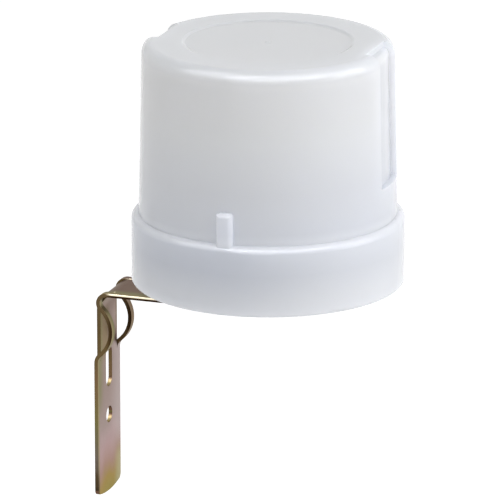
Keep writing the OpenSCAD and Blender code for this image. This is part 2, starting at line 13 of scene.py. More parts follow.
import bpy
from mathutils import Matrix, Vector


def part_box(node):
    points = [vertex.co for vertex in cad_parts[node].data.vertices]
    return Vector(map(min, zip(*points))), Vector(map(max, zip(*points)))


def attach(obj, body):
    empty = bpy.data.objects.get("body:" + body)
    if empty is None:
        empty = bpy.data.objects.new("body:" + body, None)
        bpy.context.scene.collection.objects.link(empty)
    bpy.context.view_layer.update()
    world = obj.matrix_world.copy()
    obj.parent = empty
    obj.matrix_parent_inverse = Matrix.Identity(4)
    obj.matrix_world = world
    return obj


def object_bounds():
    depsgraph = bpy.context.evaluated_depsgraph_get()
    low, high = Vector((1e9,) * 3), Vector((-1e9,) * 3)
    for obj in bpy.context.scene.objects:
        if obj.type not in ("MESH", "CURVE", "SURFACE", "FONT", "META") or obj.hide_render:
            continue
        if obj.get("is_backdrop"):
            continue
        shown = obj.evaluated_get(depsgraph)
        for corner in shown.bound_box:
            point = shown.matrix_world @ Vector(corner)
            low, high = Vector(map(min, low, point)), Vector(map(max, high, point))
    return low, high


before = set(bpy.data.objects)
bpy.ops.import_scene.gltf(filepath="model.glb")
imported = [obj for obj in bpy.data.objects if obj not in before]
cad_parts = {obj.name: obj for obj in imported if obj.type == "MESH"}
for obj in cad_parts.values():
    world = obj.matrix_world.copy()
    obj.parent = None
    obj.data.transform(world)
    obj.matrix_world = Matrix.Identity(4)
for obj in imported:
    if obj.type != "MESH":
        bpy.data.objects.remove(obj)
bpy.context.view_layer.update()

LOG = logging.getLogger("photocell_switch")
BODY = "root"
MM = 0.001
AXIS_X = 44.7 * MM
SCREEN_WHITE = 255
NOISE_MIDDLE = 0.5
EASE_SAMPLES = 6
SMOOTH_ANGLE = math.radians(40)

# Places of the Mix node's sockets when it mixes colours
MIX_SHARE, MIX_FIRST, MIX_SECOND, MIX_RESULT = 0, 6, 7, 2

Rgb = tuple[float, float, float, float]
Point = tuple[float, float, float]
Span = tuple[float, float]
Stops = tuple[tuple[float, Rgb], ...]
Settings = dict[str, object]
Inputs = dict[str | int, object]


def tint(red: int, green: int, blue: int) -> Rgb:
    """Turn a colour as a screen shows it into the linear colour that a shader takes.

    Args:
        red: Red from 0 to 255.
        green: Green from 0 to 255.
        blue: Blue from 0 to 255.

    Returns:
        The linear colour, with full alpha.
    """
    knee, steepness, offset, power = 0.04045, 12.92, 0.055, 2.4
    linear = []
    for level in (red, green, blue):
        share = level / SCREEN_WHITE
        curved = ((share + offset) / (1 + offset)) ** power
        linear.append(share / steepness if share <= knee else curved)
    return (linear[0], linear[1], linear[2], 1.0)


def shifted(span: Span, by: float) -> Span:
    """Return a span moved by a length."""
    return span[0] + by, span[1] + by


def scaled(span: Span, by: float) -> Span:
    """Return a span with both ends multiplied."""
    return span[0] * by, span[1] * by


class Sum(Enum):
    """The operations that arithmetic on sockets uses."""

    ADD = "ADD"
    SUBTRACT = "SUBTRACT"
    MULTIPLY = "MULTIPLY"
    DIVIDE = "DIVIDE"
    MAXIMUM = "MAXIMUM"
    ABSOLUTE = "ABSOLUTE"
    SQUARE_ROOT = "SQRT"


class Socket:
    """An output socket of a shader graph, with arithmetic that adds Math nodes."""

    def __init__(self, graph: "Graph", socket: bpy.types.NodeSocket) -> None:
        """Keep the socket and the graph that it belongs to."""
        self.graph = graph
        self.socket = socket

    def __add__(self, other: "Operand") -> "Socket":
        """Return the sum."""
        return self.graph.math(Sum.ADD, self, other)

    def __radd__(self, other: float) -> "Socket":
        """Return the sum, with the number first."""
        return self.graph.math(Sum.ADD, other, self)

    def __sub__(self, other: "Operand") -> "Socket":
        """Return the difference."""
        return self.graph.math(Sum.SUBTRACT, self, other)

    def __rsub__(self, other: float) -> "Socket":
        """Return the difference, with the number first."""
        return self.graph.math(Sum.SUBTRACT, other, self)

    def __mul__(self, other: "Operand") -> "Socket":
        """Return the product."""
        return self.graph.math(Sum.MULTIPLY, self, other)

    def __rmul__(self, other: float) -> "Socket":
        """Return the product, with the number first."""
        return self.graph.math(Sum.MULTIPLY, other, self)

    def __truediv__(self, other: "Operand") -> "Socket":
        """Return the quotient."""
        return self.graph.math(Sum.DIVIDE, self, other)

    def __rtruediv__(self, other: float) -> "Socket":
        """Return the quotient, with the number first."""
        return self.graph.math(Sum.DIVIDE, other, self)

    def __abs__(self) -> "Socket":
        """Return the value without its sign."""
        return self.graph.math(Sum.ABSOLUTE, self, 0.0)

    def swing(self, reach: float) -> "Socket":
        """Return noise about 0 in place of its middle, scaled to a reach."""
        return (self - NOISE_MIDDLE) * reach


Operand = Socket | float


class Graph:
    """The node tree of one material."""

    def __init__(self, tree: bpy.types.NodeTree) -> None:
        """Start from an empty tree."""
        self.tree = tree
        tree.nodes.clear()

    def add(
        self, kind: str, settings: Settings, inputs: Inputs, output: str | int | None = 0
    ) -> Socket | None:
        """Add a node.

        Args:
            kind: The node's type.
            settings: Its properties, set first. A ramp takes its stops by the name stops.
            inputs: A value or a link for each of its sockets that isn't left as it is.
            output: The output that is wanted, or None for a node that ends the tree.

        Returns:
            That output, if one is wanted.
        """
        node = self.tree.nodes.new(kind)
        for name, value in settings.items():
            if name == "stops":
                self._set_stops(node.color_ramp, value)
            else:
                setattr(node, name, value)
        for name, value in inputs.items():
            if isinstance(value, Socket):
                self.tree.links.new(value.socket, node.inputs[name])
            else:
                node.inputs[name].default_value = value
        return None if output is None else Socket(self, node.outputs[output])

    @staticmethod
    def _set_stops(ramp: bpy.types.ColorRamp, stops: Stops) -> None:
        """Give a ramp its stops.

        Args:
            ramp: The ramp.
            stops: The place and the colour of each stop, in order.
        """
        while len(ramp.elements) > 1:
            ramp.elements.remove(ramp.elements[-1])
        ramp.elements[0].position, ramp.elements[0].color = stops[0]
        for place, colour in stops[1:]:
            ramp.elements.new(place).color = colour

    def math(self, operation: Sum, first: Operand, second: Operand) -> Socket:
        """Return one operation on two values."""
        return self.add("ShaderNodeMath", {"operation": operation.value}, {0: first, 1: second})

    def most(self, first: Operand, second: Operand) -> Socket:
        """Return the larger of two values."""
        return self.math(Sum.MAXIMUM, first, second)

    def place(self) -> Socket:
        """Return the point on the surface, in the part's own frame."""
        return self.add("ShaderNodeTexCoord", {}, {}, "Object")

    def facing(self) -> Socket:
        """Return the way that the surface faces, in the part's own frame."""
        return self.add("ShaderNodeNewGeometry", {}, {}, "Normal")

    def axes(self, point: Socket) -> tuple[Socket, Socket, Socket]:
        """Take a point or a direction apart.

        Args:
            point: The point or the direction.

        Returns:
            Its three coordinates.
        """
        first = self.add("ShaderNodeSeparateXYZ", {}, {"Vector": point})
        outputs = first.socket.node.outputs
        return first, Socket(self, outputs[1]), Socket(self, outputs[2])

    def stretched(self, point: Socket, scale: Point) -> Socket:
        """Return the point with each of its coordinates scaled."""
        return self.add("ShaderNodeMapping", {}, {"Vector": point, "Scale": scale})

    def noise(self, point: Socket, size: float, detail: float = 2.0) -> Socket:
        """Add soft noise.

        Args:
            point: Where it is read.
            size: Size of its features.
            detail: Number of finer layers.

        Returns:
            The noise, from 0 to 1.
        """
        inputs = {"Vector": point, "Scale": 1 / size, "Detail": detail}
        return self.add("ShaderNodeTexNoise", {}, inputs)

    def smooth(self, value: Socket, low: float, high: float) -> Socket:
        """Return a smooth step from 0 at low to 1 at high, where low may be the larger."""
        inputs = {"Value": value, "From Min": low, "From Max": high}
        return self.add("ShaderNodeMapRange", {"interpolation_type": "SMOOTHSTEP"}, inputs)

    def share(self, value: Socket, low: float, high: float) -> Socket:
        """Return how far a value has come from low, which gives 0, to high, which gives 1."""
        inputs = {"Value": value, "From Min": low, "From Max": high}
        return self.add("ShaderNodeMapRange", {}, inputs)

    def mix(self, share: Operand, first: Socket | Rgb, second: Socket | Rgb) -> Socket:
        """Return a colour between two, which is the second where the share is 1."""
        inputs = {MIX_SHARE: share, MIX_FIRST: first, MIX_SECOND: second}
        return self.add("ShaderNodeMix", {"data_type": "RGBA"}, inputs, MIX_RESULT)

    def ramp(self, value: Socket, stops: Stops) -> Socket:
        """Return the colour that a ramp gives a value."""
        return self.add("ShaderNodeValToRGB", {"stops": stops}, {"Fac": value}, "Color")

    def eased(self, radius: float) -> Socket:
        """Return the normal of the surface with its edges eased to a radius."""
        return self.add("ShaderNodeBevel", {"samples": EASE_SAMPLES}, {"Radius": radius})

    def bump(
        self, height: Socket, strength: float, depth: float, normal: Socket | None = None
    ) -> Socket:
        """Add a relief.

        Args:
            height: The relief, from 0 to 1.
            strength: How much of it shows.
            depth: How deep it is.
            normal: The normal without it, where that isn't the mesh's own.

        Returns:
            The normal of the surface with the relief.
        """
        inputs: Inputs = {"Height": height, "Strength": strength, "Distance": depth}
        if normal is not None:
            inputs["Normal"] = normal
        return self.add("ShaderNodeBump", {}, inputs)

    def surface(self, inputs: Inputs) -> None:
        """End the tree with a shader that has these inputs."""
        shader = self.add("ShaderNodeBsdfPrincipled", {}, inputs)
        self.add("ShaderNodeOutputMaterial", {}, {"Surface": shader}, None)


@dataclass(frozen=True)
class Finish:
    """What every finish has: a name, and a material that is made once.

    In every finish, a pair of values is where a soft edge starts and where it ends.
    """

    made: ClassVar[dict[str, bpy.types.Material]] = {}
    name: str

    def shade(self, graph: Graph) -> None:
        """Fill the material's tree; each kind of finish has its own way."""
        raise NotImplementedError

    def material(self) -> bpy.types.Material:
        """Make the material, if it isn't there yet.

        Returns:
            The material.
        """
        if self.name not in self.made:
            material = bpy.data.materials.new(self.name)
            material.use_nodes = True
            self.shade(Graph(material.node_tree))
            self.made[self.name] = material
        return self.made[self.name]


@dataclass(frozen=True)
class MilkyPlastic(Finish):
    """Plastic that light soaks into, with painted shade where the base and board stand behind it.

    The grooves are found by their depth below the body's outside, which leans in by a slope.
    """

    # Painted shade by height: darker down the skirt behind which the base stands, lighter at the
    # shoulder crease
    heights: Stops
    pale: Rgb
    groove_floor_shade: Rgb
    rim_z: float
    top_z: float
    axis_x: float
    shoulder_r: float
    shoulder_z: float
    slope: float
    cloud: float = 28 * MM
    cloud_shift: float = 0.03
    # Painted light: the skirt paler on its lit side, away from the bracket
    painted_lit_side: float = 28 * MM
    painted_light_share: float = 0.25
    # Heights from the shoulder
    skirt_fade: Span = (2 * MM, -2 * MM)
    groove_foot: Span = (3 * MM, 5 * MM)
    # Heights from the top
    groove_head: Span = (-2.6 * MM, -4 * MM)
    # Depths below the body's outside, short of the wall's inner face
    groove_lip: Span = (0.3 * MM, 0.9 * MM)
    groove_floor: Span = (1.95 * MM, 1.8 * MM)
    # Painted shade on the groove floors and painted light on their walls, told apart by facing
    groove_walls: Span = (0.5, 0.8)
    groove_shade_share: float = 0.4
    rough: float = 0.08
    rough_spread: float = 0.05
    rough_size: float = 7 * MM
    peel: float = 1.4 * MM
    peel_strength: float = 0.04
    peel_depth: float = 0.05 * MM
    soak: float = 5 * MM
    soak_spread: Point = (1.0, 1.0, 1.05)
    refraction: float = 1.49

    def grooved(self, graph: Graph, point: Socket) -> Socket:
        """Find the grooves.

        Args:
            graph: The material's tree.
            point: The point on the surface.

        Returns:
            1 in the grooves, and 0 on the body's outside and inside.
        """
        x, y, z = graph.axes(point)
        out = x - self.axis_x
        radius = graph.math(Sum.SQUARE_ROOT, out * out + y * y, 0.0)
        depth = self.shoulder_r - (z - self.shoulder_z) * self.slope - radius
        inset = graph.smooth(depth, *self.groove_lip) * graph.smooth(depth, *self.groove_floor)
        above = graph.smooth(z, *shifted(self.groove_foot, self.shoulder_z))
        return inset * above * graph.smooth(z, *shifted(self.groove_head, self.top_z))

    def shade(self, graph: Graph) -> None:
        """Paint shade and light by height, on the lit side and in the grooves, over a smooth skin.

        Args:
            graph: The material's tree.
        """
        point = graph.place()
        x, _, z = graph.axes(point)
        _, along, _ = graph.axes(graph.facing())
        cloud = graph.noise(point, self.cloud, detail=3.0)
        height = graph.share(z, self.rim_z, self.top_z)
        colour = graph.ramp(height + cloud.swing(self.cloud_shift), self.heights)
        skirt = graph.smooth(z, *shifted(self.skirt_fade, self.shoulder_z))
        # Painted light on the skirt's lit side
        painted_lit_side = graph.smooth(x, self.axis_x, self.axis_x + self.painted_lit_side)
        colour = graph.mix(painted_lit_side * skirt * self.painted_light_share, colour, self.pale)
        # Painted shade on the groove floors, painted light on their walls
        walls = graph.smooth(abs(along), *self.groove_walls)
        groove_light_and_shade = graph.mix(walls, self.groove_floor_shade, self.pale)
        grooved = self.grooved(graph, point) * self.groove_shade_share
        peel = graph.noise(point, self.peel, detail=1.0)
        graph.surface({
            "Base Color": graph.mix(grooved, colour, groove_light_and_shade),
            "Roughness": self.rough + graph.noise(point, self.rough_size) * self.rough_spread,
            "Normal": graph.bump(peel, self.peel_strength, self.peel_depth),
            "Subsurface Weight": 1.0,
            "Subsurface Radius": self.soak_spread,
            "Subsurface Scale": self.soak,
            "IOR": self.refraction,
        })


@dataclass(frozen=True)
class Patch:
    """A place on the strip's rolled faces where the film has another colour.

    Across is in half widths of the strip, from its near edge at -1 to its far edge at 1. The
    patch comes in over the heights of rise, and goes out over those of fade.
    """

    colour: Rgb
    share: float
    across: Span
    rise: Span
    fade: Span | None = None
    both_edges: bool = False

    def mask(self, graph: Graph, y: Socket, z: Socket, half_w: float) -> Socket:
        """Find the patch.

        Args:
            graph: The material's tree.
            y: The place across the strip.
            z: The height.
            half_w: Half the strip's width.

        Returns:
            How much of the patch's colour shows.
        """
        side = abs(y) if self.both_edges else y
        mask = graph.smooth(side, *scaled(self.across, half_w)) * graph.smooth(z, *self.rise)
        if self.fade is not None:
            mask = mask * graph.smooth(z, *self.fade)
        return mask * self.share


@dataclass(frozen=True)
class PassivatedZinc(Finish):
    """Zinc-plated sheet with a yellow passivation, whose film changes colour as it thickens."""

    films: Stops
    edges: Stops
    half_w: float
    sheet: float
    arm_x: float
    arm_top: float
    leg_end: float
    # The far half, the far corner, the strands, the near half below the arm, and the near edge
    patches: tuple[Patch, ...] = (
        Patch(tint(180, 168, 169), 0.75, (-0.1, 1.0), (-14 * MM, -4 * MM), (21 * MM, 17 * MM)),
        Patch(tint(172, 166, 138), 0.75, (0.3, 0.9), (-9 * MM, -14 * MM)),
        Patch(
            tint(120, 101, 78), 0.85, (0.6, 0.66), (19 * MM, 22 * MM), (31.3 * MM, 28.3 * MM),
            both_edges=True,
        ),
        # Below the arm on the near half: olive film with painted shade under the arm
        Patch(tint(130, 113, 80), 0.75, (0.2, -0.2), (14 * MM, 19 * MM), (31.3 * MM, 28.3 * MM)),
        Patch(tint(130, 128, 96), 0.85, (-0.4, -0.85), (-2 * MM, 9 * MM)),
    )
    run: float = 8 * MM
    run_stretch: Point = (1.0, 1.5, 0.6)
    run_shift: float = 0.12
    lean: float = 0.04
    # Level faces of the arm, by how they face and by height from the arm's top: a painted
    # reflection of the cover's dark underside
    shaded: Rgb = tint(114, 95, 90)
    level_facing: Span = (0.6, 0.9)
    level_height: Span = (-3 * MM, -2 * MM)
    # A painted highlight line along the near edge, in half widths, and the heights over which it
    # darkens towards the leg's end
    gold: Rgb = tint(150, 137, 104)
    edge_low_dark: Rgb = tint(82, 70, 46)
    line: Span = (-0.84, -0.95)
    edge_highlight_share: float = 0.9
    stain: Span = (-10 * MM, -18 * MM)
    # Sheared edges, where broken is in thicknesses of the sheet; on the arm, a painted highlight
    # band over a painted shade band
    burnished_highlight: Rgb = tint(250, 237, 207)
    fracture_shade: Rgb = tint(46, 30, 16)
    cut_facing: Span = (0.8, 0.95)
    broken: Span = (0.36, 0.48)
    arm_fade: float = 2 * MM
    worn: float = 2.5 * MM
    worn_shift: float = 0.12
    # Walls of the hole and the slot, below the arm's top, with a painted highlight where they face
    # up
    wall: Rgb = tint(96, 72, 56)
    upfacing_highlight: Rgb = tint(150, 133, 95)
    leg_height: Span = (-7 * MM, -9 * MM)
    wall_across: Span = (0.5, 0.3)
    wall_along: Span = (1.0, 0.98)
    rim_facing: Span = (0.2, 0.8)
    # The skin
    grazing: Rgb = (0.66, 0.62, 0.55, 1.0)
    rough: float = 0.28
    rough_spread: float = 0.14
    rough_size: float = 3 * MM
    grain: float = 0.35 * MM
    grain_stretch: Point = (1.0, 1.0, 0.06)
    grain_strength: float = 0.06
    grain_depth: float = 0.03 * MM
    eased_r: float = 0.18 * MM

    def faces(self, graph: Graph, point: Socket, height: Socket) -> Socket:
        """Colour the rolled faces.

        Args:
            graph: The material's tree.
            point: The point on the surface.
            height: Its height on the strip, from 0 at the leg's end to 1 at the arm's top.

        Returns:
            The film's colour, in long soft runs, with its patches and the near edge's painted
            highlight line.
        """
        _, y, z = graph.axes(point)
        _, _, up = graph.axes(graph.facing())
        run = graph.noise(graph.stretched(point, self.run_stretch), self.run, detail=3.0)
        lean = y * (self.lean / self.half_w)
        film = graph.ramp(height + run.swing(self.run_shift) - lean, self.films)
        top = graph.smooth(z, *shifted(self.level_height, self.arm_top))
        film = graph.mix(graph.smooth(abs(up), *self.level_facing) * top, film, self.shaded)
        for patch in self.patches:
            film = graph.mix(patch.mask(graph, y, z, self.half_w), film, patch.colour)
        # Painted highlight along the near edge, darker towards the leg's end
        line = graph.smooth(y, *scaled(self.line, self.half_w)) * self.edge_highlight_share
        return graph.mix(
            line, film, graph.mix(graph.smooth(z, *self.stain), self.gold, self.edge_low_dark)
        )

    def cuts(self, graph: Graph, point: Socket, height: Socket) -> Socket:
        """Colour the sheared edges.

        Args:
            graph: The material's tree.
            point: The point on the surface.
            height: Its height on the strip, from 0 at the leg's end to 1 at the arm's top.

        Returns:
            The edges' colour: a painted highlight band over a painted shade band along the arm, and
            worn along the leg.
        """
        x, _, z = graph.axes(point)
        worn = graph.noise(point, self.worn)
        leg = graph.ramp(height + worn.swing(self.worn_shift), self.edges)
        # Painted highlight on the arm edge's upper band, painted shade on its lower band
        broken = graph.smooth((self.arm_top - z) / self.sheet, *self.broken)
        arm = graph.mix(broken, self.burnished_highlight, self.fracture_shade)
        return graph.mix(graph.smooth(x, self.arm_x, self.arm_x + self.arm_fade), leg, arm)

    def shade(self, graph: Graph) -> None:
        """Colour the faces by the film, and the edges and the holes' walls as sheared metal, with
        painted highlights and shade.

        Args:
            graph: The material's tree.
        """
        point = graph.place()
        _, _, z = graph.axes(point)
        across, along, up = graph.axes(graph.facing())
        height = graph.share(z, self.leg_end, self.arm_top)
        faces = self.faces(graph, point, height)
        cuts = self.cuts(graph, point, height)
        colour = graph.mix(graph.smooth(abs(along), *self.cut_facing), faces, cuts)
        in_leg = graph.smooth(z, *shifted(self.leg_height, self.arm_top))
        hole = in_leg * graph.smooth(abs(across), *self.wall_across)
        hole = hole * graph.smooth(abs(along), *self.wall_along)
        # Painted highlight on the walls where they face up
        walls = graph.mix(graph.smooth(up, *self.rim_facing), self.wall, self.upfacing_highlight)
        grain = graph.noise(graph.stretched(point, self.grain_stretch), self.grain)
        eased = graph.eased(self.eased_r)
        graph.surface({
            "Base Color": graph.mix(hole, colour, walls),
            "Metallic": 1.0,
            "Specular Tint": self.grazing,
            "Roughness": self.rough + graph.noise(point, self.rough_size) * self.rough_spread,
            "Normal": graph.bump(grain, self.grain_strength, self.grain_depth, eased),
        })


@dataclass(frozen=True)
class MouldedPlastic(Finish):
    """Opaque plastic, rubber, resin or paint with a fine grain."""

    pale: Rgb
    deep: Rgb
    rough: float = 0.4
    grain: float = 0.5 * MM
    relief: float = 0.1
    relief_depth: float = 0.05 * MM
    rough_spread: float = 0.12
    cloud: float = 7 * MM
    refraction: float = 1.5

    def shade(self, graph: Graph) -> None:
        """Vary the colour faintly, and roughen the skin with the grain.

        Args:
            graph: The material's tree.
        """
        point = graph.place()
        cloud = graph.noise(point, self.cloud, detail=3.0)
        grain = graph.noise(point, self.grain)
        graph.surface({
            "Base Color": graph.mix(cloud, self.pale, self.deep),
            "Roughness": self.rough + grain.swing(self.rough_spread),
            "Normal": graph.bump(grain, self.relief, self.relief_depth),
            "IOR": self.refraction,
        })


@dataclass(frozen=True)
class PaperLaminate(Finish):
    """Bonded paper board, with short fibres across its faces and pale sawn edges."""

    pale: Rgb
    deep: Rgb
    sawn: Rgb
    fibre: float = 0.5 * MM
    fibre_stretch: Point = (0.25, 1.0, 1.0)
    fibre_share: float = 0.6
    stain: float = 9 * MM
    edge_facing: Span = (0.6, 0.3)
    rough: float = 0.48
    rough_spread: float = 0.2
    relief: float = 0.12
    relief_depth: float = 0.03 * MM

    def shade(self, graph: Graph) -> None:
        """Streak the faces with fibres, and lighten what isn't level.

        Args:
            graph: The material's tree.
        """
        point = graph.place()
        fibre = graph.noise(graph.stretched(point, self.fibre_stretch), self.fibre, detail=3.0)
        stain = graph.noise(point, self.stain)
        _, _, up = graph.axes(graph.facing())
        deep = fibre * self.fibre_share + stain * (1 - self.fibre_share)
        faces = graph.mix(deep, self.pale, self.deep)
        edges = graph.smooth(abs(up), *self.edge_facing)
        graph.surface({
            "Base Color": graph.mix(edges, faces, self.sawn),
            "Roughness": self.rough + fibre.swing(self.rough_spread),
            "Normal": graph.bump(fibre, self.relief, self.relief_depth),
        })


@dataclass(frozen=True)
class BareMetal(Finish):
    """Plated, drawn or soldered metal with faint streaks."""

    pale: Rgb
    deep: Rgb
    rough: float = 0.3
    streak: float = 0.6 * MM
    streak_stretch: Point = (1.0, 1.0, 0.2)
    patch: float = 3 * MM
    rough_spread: float = 0.16
    relief: float = 0.05
    relief_depth: float = 0.03 * MM

    def shade(self, graph: Graph) -> None:
        """Vary the colour in patches, and the roughness in fine streaks.

        Args:
            graph: The material's tree.
        """
        point = graph.place()
        patch = graph.noise(point, self.patch, detail=3.0)
        streak = graph.noise(graph.stretched(point, self.streak_stretch), self.streak)
        graph.surface({
            "Base Color": graph.mix(patch, self.pale, self.deep),
            "Metallic": 1.0,
            "Roughness": self.rough + streak.swing(self.rough_spread),
            "Normal": graph.bump(streak, self.relief, self.relief_depth),
        })


@dataclass(frozen=True)
class SensorTrack(Finish):
    """The lit face of a light sensor: bands of dark film between pale combs, under clear resin."""

    film: Rgb
    comb: Rgb
    middle_y: float
    reach: float
    pitch: float = 1.3 * MM
    wave_turns: float = 20.0
    end_fade: float = 0.3 * MM
    band_edge: Span = (0.42, 0.58)
    rough: float = 0.16
    rough_spread: float = 0.08
    rough_size: float = 2 * MM
    relief: float = 0.2
    relief_depth: float = 0.04 * MM
    coat_rough: float = 0.08

    def shade(self, graph: Graph) -> None:
        """Draw the bands between the margins of the face, and coat it.

        Args:
            graph: The material's tree.
        """
        point = graph.place()
        _, y, _ = graph.axes(point)
        inputs = {"Vector": point, "Scale": 2 * math.pi / (self.wave_turns * self.pitch)}
        bands = graph.add("ShaderNodeTexWave", {"wave_profile": "TRI"}, inputs, "Fac")
        inside = graph.smooth(abs(y - self.middle_y), self.reach, self.reach - self.end_fade)
        track = graph.smooth(bands, *self.band_edge) * inside
        graph.surface({
            "Base Color": graph.mix(track, self.comb, self.film),
            "Roughness": self.rough + graph.noise(point, self.rough_size) * self.rough_spread,
            "Normal": graph.bump(track, self.relief, self.relief_depth),
            "Coat Weight": 1.0,
            "Coat Roughness": self.coat_rough,
        })


BRIGHT_PLATING = BareMetal("bright_plating", tint(208, 210, 214), tint(190, 193, 199), rough=0.25)
TINNED_LEADS = BareMetal(
    "tinned_leads", tint(214, 215, 218), tint(196, 198, 202), rough=0.24, streak=0.3 * MM
)


@dataclass
class SubAssembly:
    """A group of pieces that belong together, and the finish of each node in it."""

    def finishes(self) -> dict[str, Finish]:
        """Return the finish of each node; each sub-assembly has its own."""
        raise NotImplementedError

    def build(self) -> None:
        """Model what the solids don't hold; most sub-assemblies have nothing to add."""

    def dress(self) -> None:
        """Put each finish on its node, in place of the materials that the node came with."""
        for node, finish in self.finishes().items():
            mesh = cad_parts[node].data
            mesh.materials.clear()
            mesh.materials.append(finish.material())
            LOG.info("%s: %s", node, finish.name)


@dataclass
class Housing(SubAssembly):
    """The translucent cover, the base that snaps into it, and the grommet for the lead."""

    axis_x: float = AXIS_X
    shoulder_r: float = 33.1 * MM
    shoulder_h: float = 18.3 * MM
    slope: float = 0.0201
    # Painted shade by height: darker down the skirt where the base stands behind it, lighter at the
    # shoulder crease
    heights: Stops = (
        (0.0, tint(231, 234, 241)), (0.07, tint(226, 229, 237)), (0.17, tint(213, 217, 228)),
        (0.265, tint(217, 221, 231)), (0.285, tint(230, 233, 241)), (0.3, tint(230, 233, 241)),
        (0.33, tint(223, 226, 234)), (0.49, tint(228, 230, 236)), (0.7, tint(242, 244, 248)),
        (0.94, tint(251, 252, 254)), (0.975, tint(240, 243, 248)), (1.0, tint(235, 239, 245)),
    )
    # Painted light for the lit side and the groove walls, painted shade for the groove floors
    pale: Rgb = tint(253, 254, 255)
    groove_floor_shade: Rgb = tint(214, 217, 225)

    def finishes(self) -> dict[str, Finish]:
        """Choose the milky plastic, the base's own plastic and black rubber.

        Returns:
            The finish of each node.
        """
        low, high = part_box("cover")
        milky = MilkyPlastic(
            "milky_cover", self.heights, self.pale, self.groove_floor_shade, low.z, high.z, self.axis_x,
            self.shoulder_r, low.z + self.shoulder_h, self.slope,
        )
        plain = MouldedPlastic("moulded_base", tint(216, 218, 220), tint(206, 208, 211), rough=0.42)
        rubber = MouldedPlastic("black_rubber", tint(62, 62, 64), tint(50, 50, 52), rough=0.6)
        return {"cover": milky, "base": plain, "cable_grommet": rubber}


@dataclass
class WallBracket(SubAssembly):
    """The folded strip with its lanced edge strands, and what holds it to the base."""

    sheet: float = 1 * MM
    bend: float = 3 * MM
    films: Stops = (
        (0.0, tint(144, 132, 72)), (0.07, tint(154, 131, 75)), (0.11, tint(157, 130, 104)),
        (0.15, tint(162, 132, 125)), (0.185, tint(168, 140, 137)), (0.24, tint(172, 146, 148)),
        (0.29, tint(170, 149, 150)), (0.36, tint(158, 142, 140)), (0.43, tint(157, 140, 138)),
        (0.61, tint(148, 131, 126)), (0.78, tint(168, 150, 146)), (1.0, tint(166, 148, 143)),
    )
    edges: Stops = (
        (0.02, tint(32, 26, 20)), (0.09, tint(74, 61, 42)), (0.19, tint(99, 89, 79)),
        (0.37, tint(105, 98, 60)), (0.57, tint(108, 85, 60)), (0.66, tint(96, 80, 52)),
        (0.8, tint(86, 70, 44)), (0.95, tint(90, 75, 52)),
    )

    def finishes(self) -> dict[str, Finish]:
        """Choose the passivated film, bright plating and the dull spring washer's own finish.

        Returns:
            The finish of each node.
        """
        low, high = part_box("bracket")
        strip = PassivatedZinc(
            "passivated_strip", self.films, self.edges, high.y, self.sheet, self.bend,
            high.z, low.z,
        )
        return {
            "bracket": strip,
            "bracket_screw": BRIGHT_PLATING,
            "bracket_nut": BRIGHT_PLATING,
            "spring_washer": BareMetal(
                "dull_spring", tint(120, 116, 112), tint(96, 94, 92), rough=0.35
            ),
        }


class BandColour(Enum):
    """The paints that mark small components."""

    BROWN = (92, 50, 24)
    BLACK = (28, 26, 26)
    RED = (178, 36, 30)
    YELLOW = (222, 184, 40)
    VIOLET = (104, 62, 140)
    GOLD = (190, 152, 70)
    SILVER = (196, 198, 200)

    def finish(self) -> Finish:
        """Make the paint.

        Returns:
            The paint as a finish, a little deeper in places.
        """
        deepened = 0.86
        deep = tint(*(round(level * deepened) for level in self.value))
        return MouldedPlastic(
            f"paint_{self.name.lower()}", tint(*self.value), deep,
            rough=0.34, grain=0.3 * MM, relief=0.06,
        )


